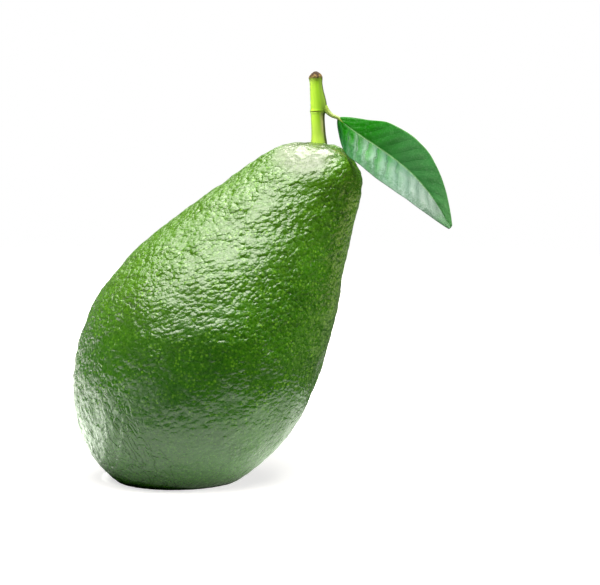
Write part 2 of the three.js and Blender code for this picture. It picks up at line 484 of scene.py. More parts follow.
def addWorld():
    # dim, least so behind and to the left, and a white page for the camera itself
    look = roomLook
    world = bpy.data.worlds.new("room")
    bpy.context.scene.world = world
    sky = Maker(world)
    across, depth, up = sky.axes(sky.read("ShaderNodeTexCoord", "Generated"))
    behind = sky.span(depth, *look["behindFrom"], look["inFront"], look["behind"])
    left = 1 - sky.span(across, *look["rightFrom"]) * look["rightShade"]
    low = 1 - sky.span(up, *look["topFrom"]) * look["topShade"]
    seen = sky.read("ShaderNodeLightPath", "Is Camera Ray")
    strength = seen * look["page"] + (1 - seen) * behind * left * low
    paint = sky.node("ShaderNodeBackground", None, {"Color": (1, 1, 1, 1), "Strength": strength})
    sky.node("ShaderNodeOutputWorld", None, {"Surface": paint.outputs[0]})


bpy.context.scene.view_settings.view_transform = "Standard"
deselectAll()
addCamera()
addFloor()
addGlowRing()
addLamps()
addWorld()


# fruit: rings along a pear's outline, then lumps, wrinkles and pebbles

fruitShape = {
    "length": 119.5 * mm,
    "bellyRadius": 35.6 * mm,
    "bellyAlong": 46 * mm,
    "bellyHandle": 16 * mm,
    "roundEnd": 0.5523,        # how far a handle reaches on a round end, as a share of the radius
    "neckRadius": 19.5 * mm,
    "neckAlong": 100 * mm,
    "neckHandle": 22 * mm,
    "neckTaper": 0.37,
    "shoulderHandle": 10.5 * mm,
    "bluntness": 0.8,
    "depthShare": 0.98,
    "neckBend": 4.6 * mm,
    "bendStart": 35 * mm,
    "endSlant": 0.17,        # in radians, and the other angles are in degrees
    "slantAlong": 88 * mm,
    "lean": 29,
    "tiltBack": 11,
    "bellyCentre": Vector((6.7, 2.5, 37.7)) * mm,
    "segments": 88,
    "ringsPerCurve": (24, 20, 13),
    "subdivisions": 2,
}
fruitRelief = {
    "swellSize": 19 * mm,
    "swell": 1.1 * mm,
    "lumpSize": 8.5 * mm,
    "lump": 0.8 * mm,
    "clearAbove": (1 * mm, 10 * mm),
    "neck": {"height": 0.43 * mm, "size": 2.4 * mm, "stretch": (1.7, 1.2, 0.9), "turn": (0, -16, 0)},
    "neckFrom": (40 * mm, 95 * mm),
    "neckLeast": 0.25,
    "calmReach": (3.9 * mm, 13 * mm),
    "calmLeast": 0.25,
    "flank": {"height": 0.85 * mm, "size": 2.0 * mm, "stretch": (0.8, 1.2, 2.0), "turn": (0, -20, 0)},
    "flankFrom": (-10 * mm, 3 * mm),
    "pebbleSize": 1.7 * mm,
    "pebble": 0.24 * mm,
    "dimpleRadius": 6 * mm,
    "dimple": 0.8 * mm,
    "ridges": 9,
    "ridge": 0.5 * mm,
    "ridgeReach": 14 * mm,
    "scarRadius": 1.8 * mm,
    "scar": 0.5 * mm,
    "fuller": (
        {"at": (48.5, 15, 97.5), "reach": 4.5, "height": 1.3},
        {"at": (54.5, 9, 93.5), "reach": 5, "height": -1.1},
        {"at": (23.5, 14, 94.5), "reach": 9, "height": 0.9},
        {"at": (45.5, -2.4, 91.4), "reach": 6, "height": 0.7},
    ),
}


def fruitOutline():
    # pairs of radius and height from the blossom end to the stalk end
    s = fruitShape
    radius, widest = s["bellyRadius"], s["bellyAlong"]
    neckRadius, neckAlong = s["neckRadius"], s["neckAlong"]
    neckLow = (neckRadius + s["neckTaper"] * s["neckHandle"], neckAlong - s["neckHandle"])
    neckHigh = (neckRadius - s["neckTaper"] * s["shoulderHandle"], neckAlong + s["shoulderHandle"])
    lowest = (radius * s["roundEnd"], 0)
    curves = (
        ((0, 0), lowest, (radius, widest * (1 - s["roundEnd"])), (radius, widest)),
        ((radius, widest), (radius, widest + s["bellyHandle"]), neckLow, (neckRadius, neckAlong)),
        ((neckRadius, neckAlong), neckHigh, (neckRadius * s["bluntness"], s["length"]), (0, s["length"])),
    )
    points = []
    for curve, rings in zip(curves, s["ringsPerCurve"]):
        knots = [Vector((*point, 0)) for point in curve]
        points += interpolate_bezier(*knots, rings + 1)[:-1]
    return [(point.x, point.y) for point in points[1:]]


def fruitRings():
    # an upright body whose neck bends and whose end slants
    s = fruitShape
    outline = fruitOutline()
    radius, along = outline[0]
    deselectAll()
    bpy.ops.mesh.primitive_circle_add(vertices=s["segments"], radius=radius, location=(0, 0, along))
    bpy.ops.object.transform_apply()
    fruit = startEdit("avocadoFruit")
    offset = tilt = 0
    for nextRadius, nextAlong in outline[1:]:
        bend = s["neckBend"] * (max(0, nextAlong - s["bendStart"]) / (s["length"] - s["bendStart"])) ** 2
        centre = (bend, 0, nextAlong)
        extrudeRing((bend - offset, 0, nextAlong - along), nextRadius / radius, centre)
        slant = math.degrees(s["endSlant"]) * smooth(s["slantAlong"], s["length"], nextAlong)
        if slant > tilt:
            turn(tilt - slant, "Y", centre)
        radius, along, offset, tilt = nextRadius, nextAlong, bend, max(tilt, slant)
    closeRing((s["neckBend"], 0, s["length"]))
    lowest = outline[0][1]
    pick(fruit, lambda co: abs(co.z - lowest) < hair)
    closeRing((0, 0, 0))
    return fruit


def standFruit():
    # leans it over and sets its belly in place
    s = fruitShape
    bpy.ops.mesh.select_all(action="SELECT")
    bpy.ops.transform.translate(value=(0, 0, -s["bellyAlong"]))
    bpy.ops.transform.resize(value=(1, s["depthShare"], 1), center_override=(0, 0, 0))
    turn(s["lean"], "Y")
    turn(-s["tiltBack"], "X")
    bpy.ops.transform.translate(value=s["bellyCentre"])
    bpy.ops.mesh.normals_make_consistent(inside=False)
    bpy.ops.object.mode_set(mode="OBJECT")


def fruitAxis():
    # direction from the blossom end to the stalk end
    lean = Matrix.Rotation(math.radians(fruitShape["lean"]), 3, "Y")
    return Matrix.Rotation(-math.radians(fruitShape["tiltBack"]), 3, "X") @ lean @ Vector((0, 0, 1))


def weighFruit(fruit):
    # how strongly each kind of relief shows where
    r = fruitRelief
    axis = fruitAxis()
    blossomEnd = fruitShape["bellyCentre"] - axis * fruitShape["bellyAlong"]

    def clear(co):
        return smooth(*r["clearAbove"], co.z)

    def neck(co):
        high = rising(r["neckLeast"], smooth(*r["neckFrom"], (co - blossomEnd).dot(axis)))
        return high * clear(co) * rising(r["calmLeast"], smooth(*r["calmReach"], (co - stalkFoot).length))

    def flank(co):
        return smooth(*r["flankFrom"], Vector(lowLeft).dot(co)) * clear(co)

    def sink(co):
        return 1 - smooth(0, r["dimpleRadius"], (co - stalkFoot).length)

    def fan(co):
        out = co - stalkFoot
        rise = smooth(stalkShape["radius"], r["dimpleRadius"], out.length)
        band = rise * (1 - smooth(r["dimpleRadius"], r["ridgeReach"], out.length))
        return band * (0.5 + 0.5 * math.cos(r["ridges"] * math.atan2(out.y, out.x)))

    def scar(co):
        return 1 - smooth(0, r["scarRadius"], (co - blossomEnd).length)

    for share in (clear, neck, flank, sink, fan, scar):
        weigh(fruit, share.__name__, share)


def roughenFruit(fruit):
    r = fruitRelief
    relief(fruit, r["swell"], "CLOUDS", r["swellSize"], group="clear", noise_depth=0)
    relief(fruit, r["lump"], "CLOUDS", r["lumpSize"], group="clear", noise_depth=1)
    relief(fruit, -r["dimple"], middle=0, group="sink")
    relief(fruit, r["ridge"], group="fan")
    relief(fruit, -r["scar"], middle=0, group="scar")
    for number, place in enumerate(r["fuller"]):
        spot, reach = Vector(place["at"]) * mm, place["reach"] * mm
        group = weigh(fruit, "fuller%d" % number, lambda co: bell((co - spot).length, 0, reach))
        relief(fruit, place["height"] * mm, middle=0, group=group)
    for group in ("neck", "flank"):
        wrinkles = r[group]
        relief(
            fruit, wrinkles["height"], "CLOUDS", wrinkles["size"], group=group, noise_depth=2,
            stretch=wrinkles["stretch"], turned=wrinkles["turn"],
        )
    relief(fruit, -r["pebble"], "VORONOI", r["pebbleSize"])


def flattenFoot():
    # cuts the fruit off at the ground
    openAll()
    bpy.ops.mesh.bisect(
        plane_co=(0, 0, 0), plane_no=(0, 0, 1), use_fill=True, clear_inner=True, threshold=hair
    )
    bpy.ops.mesh.mark_sharp()
    bpy.ops.object.mode_set(mode="OBJECT")


def addFruit():
    fruit = fruitRings()
    standFruit()
    subdivide(fruit, fruitShape["subdivisions"])
    weighFruit(fruit)
    roughenFruit(fruit)
    flattenFoot()
    finishPiece(fruit, "fruit", "skin", skinMaterial())


# a noise is given by its size, detail, roughness and distortion, and a mask by the two ends of its soft step
skinLook = {
    "paintedShade": (0.008, 0.058, 0.0005, 1),
    "deep": (0.015, 0.075, 0.0008, 1),
    "green": (0.022, 0.103, 0.0010, 1),
    "bright": (0.052, 0.158, 0.002, 1),
    "litSide": (0.065, 0.156, 0.002, 1),
    "fleck": (0.16, 0.36, 0.02, 1),
    "scuff": (0.20, 0.15, 0.04, 1),
    "paintedHighlightTone": (0.075, 0.09, 0.045, 1),
    "roughness": 0.28,
    "mottledRoughness": 0.12,
    "specular": 0.75,
    "calmCoat": 0.3,
    "coatRoughness": 0.2,
    "patches": (13, 3),
    "patchSpan": (0.35, 0.65),
    "mottle": (0.9, 3, 0.7),
    "mottleSpan": (0.42, 0.7),
    "mottleShare": (0.6, 0.3),        # outside the painted shade, and how much less under it
    "litSideWay": (-0.5, -0.25, 0.83),
    "litSideFrom": (30, 80),
    "litSideShare": 0.8,
    "darkUpTo": (40, 66),
    "darkAcross": (6, 30),
    "paintedShadeShare": 0.6,
    "crowds": 4,
    "crowdSpan": (0.4, 0.6),
    "crowdsAbove": (12, 32),
    "fineFlecks": {"size": 1.0, "span": (0.08, 0.42), "share": 0.22, "crowded": 0.38},
    "broadFlecks": {"size": 1.7, "span": (0.08, 0.28), "crowded": 0.6},
    "flecksLost": 0.2,
    "scuffAt": (49, 6, 99.5),
    "scuffReach": (1.2, 3.4),
    "scuffNoise": (0.8, 2),
    "scuffSpan": (0.45, 0.6),
    "scuffShare": 0.7,
    "calmAt": (38, 4, 97),
    "calmReach": (6, 12),
    "paintedHighlightToneShare": 0.6,
}
skinRelief = {
    "streaks": ((1.25, 1.05, 0.9), (0, -16, 0)),
    "waver": 0.8,
    "domeSize": 1.4,
    "domes": 0.12,
    "domeNoise": (4.5, 2),
    "domeSpan": (0.35, 0.62),
    "domeLeast": 0.35,
    "foldNoise": (1.7, 2, 0.55),
    "folds": 0.36,
    "upperSide": (-0.67, 0, 0.74),
    "upperFrom": (46, 51),
    "upperGain": 0.7,
    "leftFrom": (14, 26),
    "leftGain": 0.1,
    "calmLoss": 0.6,
    "darkLoss": 0.5,
    "lumpNoise": (4.5, 1),
    "lumps": (0.35, 0.5),        # everywhere, and how much more on the upper side
    "creases": ((0.8, 1.1, 2.4), (0, -26, 0)),
    "creaseNoise": (2.7, 1, 0.6, 0.4),
    "creaseWidth": 0.06,
    "creaseFrom": (-9, 1),
    "creaseDepth": 0.24,
    "grainNoise": (0.4, 2, 0.6),
    "grain": 0.03 * mm,
}


def fleckMask(skin, where, paintedShade):
    # pale flecks, more of them in crowds
    look = skinLook
    fine, broad = look["fineFlecks"], look["broadFlecks"]
    height = skin.axes(where)[2]
    crowded = skin.span(skin.noise(where, look["crowds"]), *look["crowdSpan"])
    crowded = crowded * skin.span(height, *look["crowdsAbove"])
    small = 1 - skin.span(skin.cells(where, fine["size"]), *fine["span"])
    large = 1 - skin.span(skin.cells(where, broad["size"]), *broad["span"])
    flecks = small * (fine["share"] + fine["crowded"] * crowded) + large * broad["crowded"] * crowded
    return flecks * (1 - look["flecksLost"] * paintedShade)


def skinColour(skin, where, mottle, paintedShade, calm):
    look = skinLook
    patches = skin.noise(where, *look["patches"])
    # painted light: the upper-left side, which faces the lamps, is paler and yellower
    litSide = skin.span(skin.reach(where, look["litSideWay"]), *look["litSideFrom"])
    bright, brightLost = look["mottleShare"]
    near = 1 - skin.span(skin.measure("DISTANCE", where, look["scuffAt"]), *look["scuffReach"])
    scuff = near * skin.span(skin.noise(where, *look["scuffNoise"]), *look["scuffSpan"])
    colour = skin.mix(skin.span(patches, *look["patchSpan"]), look["deep"], look["green"])
    colour = skin.mix(litSide * look["litSideShare"], colour, look["litSide"])
    # painted shade: darker low on the fruit and away from +X
    colour = skin.mix(paintedShade * look["paintedShadeShare"], colour, look["paintedShade"])
    mottled = skin.span(mottle, *look["mottleSpan"]) * (bright - brightLost * paintedShade)
    colour = skin.mix(mottled, colour, look["bright"])
    colour = skin.mix(fleckMask(skin, where, paintedShade), colour, look["fleck"])
    colour = skin.mix(scuff * look["scuffShare"], colour, look["scuff"])
    # painted highlight: a greyer base colour under the neck's highlight
    return skin.mix(calm * look["paintedHighlightToneShare"], colour, look["paintedHighlightTone"])


def pebbledHeight(skin, where, upper):
    # small domes and folds that run along the streaks
    r = skinRelief
    streaky = skin.place(*r["streaks"])
    waver = skin.node("ShaderNodeTexNoise", None, {"Vector": where, "Scale": r["waver"]}).outputs["Color"]
    hollow = 2 * skin.cells(skin.vectors("ADD", streaky, waver), r["domeSize"])        # 1 half a cell away
    domes = 1 - hollow * hollow
    strong = rising(r["domeLeast"], skin.span(skin.noise(where, *r["domeNoise"]), *r["domeSpan"]))
    folds = abs(skin.noise(streaky, *r["foldNoise"]) - 0.5)
    left = skin.span(skin.reach(where, (-1, 0, 0)), *r["leftFrom"])
    gain = 1 + r["upperGain"] * upper + r["leftGain"] * left
    return (r["domes"] * domes * strong + r["folds"] * folds) * gain


def skinHeight(skin, where, paintedShade, calm):
    r = skinRelief
    upper = skin.span(skin.reach(where, r["upperSide"]), *r["upperFrom"])
    pebbled = pebbledHeight(skin, where, upper) * (1 - r["calmLoss"] * calm) * (1 - r["darkLoss"] * paintedShade)
    lump, upperLump = r["lumps"]
    lumps = skin.noise(where, *r["lumpNoise"]) * (lump + upperLump * upper) * (1 - calm)
    creased = abs(skin.noise(skin.place(*r["creases"]), *r["creaseNoise"]) - 0.5)
    flank = skin.span(skin.reach(where, lowLeft), *r["creaseFrom"])
    return pebbled + lumps + skin.span(creased, 0, r["creaseWidth"]) * flank * r["creaseDepth"]


def skinMaterial():
    look = skinLook
    skin = Maker("avocadoSkin")
    where = skin.place()
    across, _, height = skin.axes(where)
    # painted shade mask, low on the fruit and away from +X
    paintedShade = (1 - skin.span(height, *look["darkUpTo"])) * (1 - skin.span(across, *look["darkAcross"]))
    calm = 1 - skin.span(skin.measure("DISTANCE", where, look["calmAt"]), *look["calmReach"])
    mottle = skin.noise(where, *look["mottle"])
    pebbled = skin.bump(skinHeight(skin, where, paintedShade, calm), 1 * mm)
    grain = skin.noise(where, *skinRelief["grainNoise"])
    return skin.finish({
        "Base Color": skinColour(skin, where, mottle, paintedShade, calm),
        "Roughness": uneven(look["roughness"], look["mottledRoughness"], mottle),
        "Normal": skin.bump(grain, skinRelief["grain"], pebbled),
        "Specular IOR Level": look["specular"],
        "Coat Weight": calm * look["calmCoat"],
        "Coat Roughness": look["coatRoughness"],
    })


# stalk: a tapered shaft with a collar, a joint where the leaf grows, a bud and a dried end

stalkShape = {
    "lean": -3,
    "length": 24.2 * mm,
    "radius": 2.3 * mm,
    "topRadius": 1.9 * mm,
    "collar": (4.0 * mm, 1.9 * mm, 0.3 * mm),        # height, width and rise of a swelling
    "joint": (13.8 * mm, 0.5 * mm, 0.22 * mm),
    "rim": (23.9 * mm, 1.0 * mm, 0.22 * mm),
    "bud": {"along": 15.4 * mm, "below": 2.1 * mm, "above": 4.2 * mm, "height": 1.15 * mm, "turn": -25},
    "foot": (0.5 * mm, 1 * mm),        # insets of the flat foot
    "cap": ((0.86, 0.35), (0.6, 0.7), (0.3, 0.93)),        # shares of the top's radius and the cap's height
    "capHeight": 1.7 * mm,
    "capSlant": 0.06,
    "capBand": 1.5 * mm,
    "segments": 24,
    "rings": 60,
    "fibre": {"height": 0.22 * mm, "size": 1 * mm, "stretch": (1, 1, 9), "fade": 2 * mm},
    "crumble": {"height": 0.4 * mm, "size": 0.7 * mm, "fade": 1 * mm},
}


def stalkRadius(height):
    s = stalkShape
    swellings = (s["collar"], s["joint"], s["rim"])
    swell = sum(rise * bell(height, centre, width) for centre, width, rise in swellings)
    return s["radius"] + (s["topRadius"] - s["radius"]) * height / s["length"] + swell


def stalkRings():
    s = stalkShape
    top = s["length"]
    deselectAll()
    bpy.ops.mesh.primitive_circle_add(vertices=s["segments"], radius=stalkRadius(0), fill_type="NGON")
    stalk = startEdit("avocadoStalk")
    for width in s["foot"]:
        bpy.ops.mesh.inset(thickness=width)
    pick(stalk, lambda co: co.length > stalkRadius(0) - hair)
    heights = [top * i / s["rings"] for i in range(s["rings"] + 1)]
    rings = [(height, stalkRadius(height)) for height in heights]
    rings += [(top + rise * s["capHeight"], share * stalkRadius(top)) for share, rise in s["cap"]]
    for (low, radius), (high, nextRadius) in zip(rings, rings[1:]):
        extrudeRing((0, 0, high - low), nextRadius / radius, (0, 0, high))
    closeRing((0, 0, top + s["capHeight"]))
    bpy.ops.mesh.select_all(action="SELECT")
    bpy.ops.mesh.normals_make_consistent(inside=False)
    bpy.ops.object.mode_set(mode="OBJECT")
    return stalk


def roughenStalk(stalk):
    # the bud over the leaf stalk's root, the bark's fibres and the crumbled end
    s = stalkShape
    axil, fibre, crumble = s["bud"], s["fibre"], s["crumble"]

    def bud(co):
        facing = max(0, math.cos(math.atan2(co.y, co.x) - math.radians(axil["turn"])))
        width = axil["above"] if co.z > axil["along"] else axil["below"]
        return bell(co.z, axil["along"], width) * facing ** 3

    weigh(stalk, "bud", bud)
    weigh(stalk, "shaft", lambda co: 1 - smooth(s["length"] - fibre["fade"], s["length"], co.z))
    weigh(stalk, "end", lambda co: smooth(s["length"] - crumble["fade"], s["length"], co.z))
    relief(stalk, axil["height"], middle=0, group="bud")
    relief(
        stalk, fibre["height"], "CLOUDS", fibre["size"], group="shaft", noise_depth=2,
        stretch=fibre["stretch"],
    )
    relief(stalk, crumble["height"], "CLOUDS", crumble["size"], group="end", noise_depth=2)


def slantCap(stalk):
    # the cut end rises a little towards +X
    s = stalkShape
    cage = bmesh.from_edit_mesh(stalk.data)
    for v in cage.verts:
        v.co.z += s["capSlant"] * v.co.x * smooth(s["length"] - s["capBand"], s["length"], v.co.z)
    bmesh.update_edit_mesh(stalk.data)


def addStalk():
    stalk = stalkRings()
    subdivide(stalk, 1)
    roughenStalk(stalk)
    openAll()
    slantCap(stalk)
    turn(stalkShape["lean"], "Y")
    bpy.ops.transform.translate(value=stalkFoot)
    bpy.ops.object.mode_set(mode="OBJECT")
    finishPiece(stalk, "stalk", "stalk", stalkMaterial())


# a waver is how far a noise moves the edge of a mask
stalkLook = {
    "green": (0.29, 0.56, 0.022, 1),
    "yellow": (0.53, 0.84, 0.06, 1),
    "pale": (0.58, 0.66, 0.16, 1),
    "seam": (0.03, 0.045, 0.008, 1),
    "olive": (0.15, 0.24, 0.035, 1),
    "palePatch": (0.55, 0.48, 0.24, 1),
    "brown": (0.035, 0.016, 0.005, 1),
    "tan": (0.20, 0.13, 0.04, 1),
    "roughness": 0.36,
    "brownRoughness": 0.5,
    "fibreRoughness": 0.1,
    "specular": 0.35,
    "strands": (1, 1, 0.1),
    "fibreNoise": (0.7, 3, 0.6),
    "blotchNoise": (2.4, 3),
    "paintedLightAcross": (-1.5, 0.7),
    "paintedLightWaver": 1.6,
    "paleUpTo": (5, 13),
    "paleWaver": 3,
    "paleShare": 0.35,
    "oliveFrom": (0.1, 0.75),
    "oliveWaver": 0.3,
    "oliveShare": 0.8,
    "palePatchFrom": (0.2, 0.5),
    "palePatchWaver": 0.4,
    "palePatchAbove": (5, 10),
    "palePatchShare": 0.5,
    "seamFrom": (0.78, 0.9),
    "seamWaver": 0.15,
    "seamWider": 0.14,        # below the joint
    "seamShare": 0.92,
    "jointLine": 0.2,        # how far the brown line lies over the joint's middle
    "ringAbove": (-0.32, -0.12),
    "ringBelow": (0.02, 0.25),
    "ringWaver": 0.25,
    "ringShare": (0.85, 0.5),        # on the left, and how much less on the right
    "rightFrom": (0, 0.8),
    "leftFrom": (0.75, 0.97),
    "leftShare": 0.45,
    "browningAbove": (-1.6, 0.2),
    "browningWaver": 2.2,
    "pithNoise": (0.7, 2, 0.6),
    "pithSpan": (0.46, 0.58),
    "pithAbove": (-0.4, 0.2),
    "pithBelow": (0.7, 1.3),
    "pithShare": 0.9,
    "grain": 0.1 * mm,
}


def about(level, ends):
    return [level + end for end in ends]


def barkColour(stalk, where, side, fibre, blotch):
    # green to yellow from right to left as painted light on the left, paler below, with olive edges and a
    # dark line of painted shade on the right
    look = stalkLook
    x, _, z = stalk.axes(where)
    joint = stalkShape["joint"][0] / mm + look["jointLine"]
    belowJoint = 1 - stalk.span(z, joint - 1, joint)
    # painted light: yellow on the lit left, green on the shaded right
    green = stalk.span(uneven(x, look["paintedLightWaver"], fibre), *look["paintedLightAcross"])
    blotched = uneven(z, look["paleWaver"], blotch)
    pale = 1 - stalk.span(blotched, *look["paleUpTo"])
    olive = stalk.span(uneven(side, look["oliveWaver"], fibre), *look["oliveFrom"])
    # a pale tan patch on the right below the joint
    palePatch = stalk.span(uneven(side, look["palePatchWaver"], fibre), *look["palePatchFrom"])
    palePatch = palePatch * stalk.span(blotched, *look["palePatchAbove"]) * belowJoint
    # painted shade: a dark line down the right side
    seam = uneven(side, look["seamWaver"], blotch) + look["seamWider"] * belowJoint
    wobble = uneven(z, look["ringWaver"], blotch)
    ring = stalk.span(wobble, *about(joint, look["ringAbove"]))
    ring = ring * (1 - stalk.span(wobble, *about(joint, look["ringBelow"])))
    strong, weaker = look["ringShare"]
    ring = ring * (strong - weaker * stalk.span(side, *look["rightFrom"]))
    colour = stalk.mix(green, look["yellow"], look["green"])
    colour = stalk.mix(pale * look["paleShare"], colour, look["pale"])
    colour = stalk.mix(olive * look["oliveShare"], colour, look["olive"])
    colour = stalk.mix(palePatch * look["palePatchShare"], colour, look["palePatch"])
    colour = stalk.mix(stalk.span(seam, *look["seamFrom"]) * look["seamShare"], colour, look["seam"])
    colour = stalk.mix(ring, colour, look["brown"])
    return stalk.mix(stalk.span(-side, *look["leftFrom"]) * look["leftShare"], colour, look["olive"])


def stalkMaterial():
    look = stalkLook
    top = stalkShape["length"] / mm
    stalk = Maker("stalkBark")
    where = stalk.place(turned=(0, stalkShape["lean"], 0), centre=stalkFoot)
    height = stalk.axes(where)[2]
    side = stalk.axes(stalk.vectors("NORMALIZE", stalk.vectors("MULTIPLY", where, (1, 1, 0))))[0]
    fibre = stalk.noise(stalk.vectors("MULTIPLY", where, look["strands"]), *look["fibreNoise"])
    blotch = stalk.noise(where, *look["blotchNoise"])
    browning = stalk.span(uneven(height, look["browningWaver"], blotch), *about(top, look["browningAbove"]))
    pith = stalk.span(stalk.noise(where, *look["pithNoise"]), *look["pithSpan"])
    pith = pith * stalk.span(height, *about(top, look["pithAbove"]))
    pith = pith * (1 - stalk.span(height, *about(top, look["pithBelow"])))
    colour = barkColour(stalk, where, side, fibre, blotch)
    colour = stalk.mix(browning, colour, look["brown"])
    colour = stalk.mix(pith * look["pithShare"], colour, look["tan"])
    rough = uneven(look["roughness"] + look["brownRoughness"] * browning, look["fibreRoughness"], fibre)
    return stalk.finish({
        "Base Color": colour, "Roughness": rough, "Normal": stalk.bump(fibre, look["grain"]),
        "Specular IOR Level": look["specular"],
    })


# leaf: a folded blade with sunken side veins, its midrib and its own thin stalk

leafShape = {
    "base": Vector((48.0, 14.0, 108.1)) * mm,
    "tip": Vector((81.7, -7.0, 76.2)) * mm,
    "facing": Vector((0.05, -1, 0.06)),
    "halfWidth": 10.0 * mm,
    "fold": 33,
    "foldFull": 0.38,
    "halves": (
        {"side": 1, "foldStart": 0.25, "narrower": 0.16},
        {"side": -1, "foldStart": -0.5, "narrower": 0},
    ),
    "narrowUpTo": (0.14, 0.29),
    "bow": 3.5 * mm,
    "bowLate": 1.4,
    "arch": 2.2 * mm,
    "thickness": 0.5 * mm,
    "thinShare": 0.35,
    "thinFrom": (0.75, 1),
    "thinnest": 0.2,
    "bulge": 0.9,
    "fullness": 0.82,
    "blunting": (0.006, 0.016),
    "leastHalf": 0.2 * mm,
    "veinPairs": 12,
    "veinSlant": 0.16,
    "veinEdge": (0.015, 0.07),
    "veinStart": (0, 0.05),
    "veinEnd": (0.75, 1),
    "quilt": 0.16 * mm,
    "quiltFade": (0.7, 0.5),        # powers across and along the blade
    "groove": 0.2 * mm,
    "grooveWidth": 0.06,
    "grooveFade": 0.6,
    "wave": (0.5 * mm, 5 * mm),
    "rows": 76,
    "columns": 24,
}
leafStem = {
    # distance out from the stalk's axis, height and radius in millimetres
    "run": ((1.3, 16.4, 0.85), (2.45, 15.15, 0.92), (3.4, 13.65, 0.8), (4.9, 12.4, 0.63)),
    "radius": 0.56 * mm,
    "ribRadius": 0.5 * mm,
    "tipRadius": 0.1 * mm,
    "ribSpan": (0.06, 0.96),
    "ribPoints": 9,
}


def leafLength():
    return (leafShape["tip"] - leafShape["base"]).length


def leafPlacement():
    onward = (leafShape["tip"] - leafShape["base"]).normalized()
    facing = leafShape["facing"]
    out = (facing - onward * facing.dot(onward)).normalized()
    placed = Matrix((onward, out.cross(onward), out)).transposed().to_4x4()
    placed.translation = leafShape["base"]
    return placed


def bladeWidth(share):
    return math.sin(math.pi * share ** leafShape["bulge"]) ** leafShape["fullness"]


def bladeRise(share):
    # how far the midrib has bowed sideways and arched towards the upper face
    bow = math.sin(math.pi * share ** leafShape["bowLate"])
    return Vector((0, leafShape["bow"] * bow, leafShape["arch"] * bow))


def addBlade():
    # a flat grid along X, shaped row by row: its width, its two folded halves and its bow
    s = leafShape
    length = leafLength()
    first, last = s["blunting"]
    trim = 1 - first - last
    gap = length * trim / s["rows"] / 2
    deselectAll()
    bpy.ops.mesh.primitive_grid_add(x_subdivisions=s["rows"], y_subdivisions=s["columns"], size=length)
    blade = startEdit("avocadoLeaf")
    bpy.ops.transform.resize(value=(trim, 2 * s["halfWidth"] / length, 1), center_override=(0, 0, 0))
    bpy.ops.transform.translate(value=(length * (first + trim / 2), 0, 0))
    for i in range(s["rows"] + 1):
        share = first + trim * i / s["rows"]
        pick(blade, lambda co: abs(co.x - share * length) < gap)
        bpy.ops.transform.resize(value=(1, bladeWidth(share), 1), center_override=(0, 0, 0))
        for half in s["halves"]:
            side = half["side"]
            pick(blade, lambda co: abs(co.x - share * length) < gap and co.y * side > hair)
            narrow = 1 - half["narrower"] * (1 - smooth(*s["narrowUpTo"], share))
            bpy.ops.transform.resize(value=(1, narrow, 1), center_override=(0, 0, 0))
            turn(side * s["fold"] * rising(half["foldStart"], smooth(0, s["foldFull"], share)), "X")
        pick(blade, lambda co: abs(co.x - share * length) < gap)
        bpy.ops.transform.translate(value=bladeRise(share))
    bpy.ops.object.mode_set(mode="OBJECT")
    return blade


def shapeVeins(blade):
    # swells between the side veins, a groove over the midrib and a thin edge
    s = leafShape
    length = leafLength()

    def spot(co):
        share = min(1, max(0, co.x / length))
        half = max(s["leastHalf"], s["halfWidth"] * bladeWidth(share) * math.cos(math.radians(s["fold"])))
        return share, min(1, abs(co.y - bladeRise(share).y) / half)

    def swell(co):
        share, out = spot(co)
        across, along = s["quiltFade"]
        between = math.sin(math.pi * s["veinPairs"] * (share - s["veinSlant"] * out)) ** 2
        return between * math.sin(math.pi * out) ** across * math.sin(math.pi * share) ** along

    def middle(co):
        share, out = spot(co)
        return bell(out, 0, s["grooveWidth"]) * (1 - s["grooveFade"] * share)

    def full(co):
        return rising(s["thinShare"], 1 - smooth(*s["thinFrom"], spot(co)[1]))

    for share in (swell, middle, full):
        weigh(blade, share.__name__, share)
    height, size = s["wave"]
    relief(blade, s["quilt"], middle=0, group="swell")
    relief(blade, -s["groove"], middle=0, group="middle")
    relief(blade, height, "CLOUDS", size, noise_depth=1)


def stemPath():
    # places and radii from the bud to the blade's base and on under the blade
    s, t = leafShape, leafStem
    placed = leafPlacement()
    away = math.radians(stalkShape["bud"]["turn"])
    lean = Matrix.Rotation(math.radians(stalkShape["lean"]), 3, "Y")
    path = []
    for out, height, radius in t["run"]:
        spot = lean @ (Vector((out * math.cos(away), out * math.sin(away), height)) * mm)
        path.append((stalkFoot + spot, radius * mm))
    path.append((s["base"], t["radius"]))
    depth = (s["thickness"] + s["groove"]) / 2
    first, last = t["ribSpan"]
    for i in range(t["ribPoints"]):
        share = first + (last - first) * i / (t["ribPoints"] - 1)
        under = bladeRise(share) + Vector((leafLength() * share, 0, -depth))
        path.append((placed @ under, t["ribRadius"] + (t["tipRadius"] - t["ribRadius"]) * share))
    return path


def addStem():
    # the leaf's own stalk, which runs on under the blade as its midrib
    path = stemPath()
    deselectAll()
    bpy.ops.curve.primitive_bezier_curve_add()
    stem = bpy.context.object
    stem.name = "leafStem"
    curve = stem.data
    curve.bevel_depth = 1        # so that the points' radii are in metres
    curve.bevel_resolution = 4
    curve.use_fill_caps = True
    curve.resolution_u = 6
    spline = curve.splines[0]
    spline.bezier_points.add(len(path) - 2)
    for point, (place, radius) in zip(spline.bezier_points, path):
        point.co, point.radius = place, radius
        point.handle_left_type = point.handle_right_type = "AUTO"
    bpy.ops.object.convert(target="MESH")
    return bpy.context.object


def addLeaf():
    s = leafShape
    blade = addBlade()
    shapeVeins(blade)
    applyModifier(
        blade, "SOLIDIFY", thickness=s["thickness"], offset=0, vertex_group="full",
        thickness_vertex_group=s["thinnest"],
    )
    subdivide(blade, 1)
    blade.data.transform(leafPlacement())
    blade.data.materials.append(bladeMaterial())
    stem = addStem()
    stem.data.materials.append(stemMaterial())
    deselectAll()
    stem.select_set(True)
    blade.select_set(True)
    bpy.context.view_layer.objects.active = blade
    bpy.ops.object.join()
    finishPiece(blade, "leaf", "leaf")


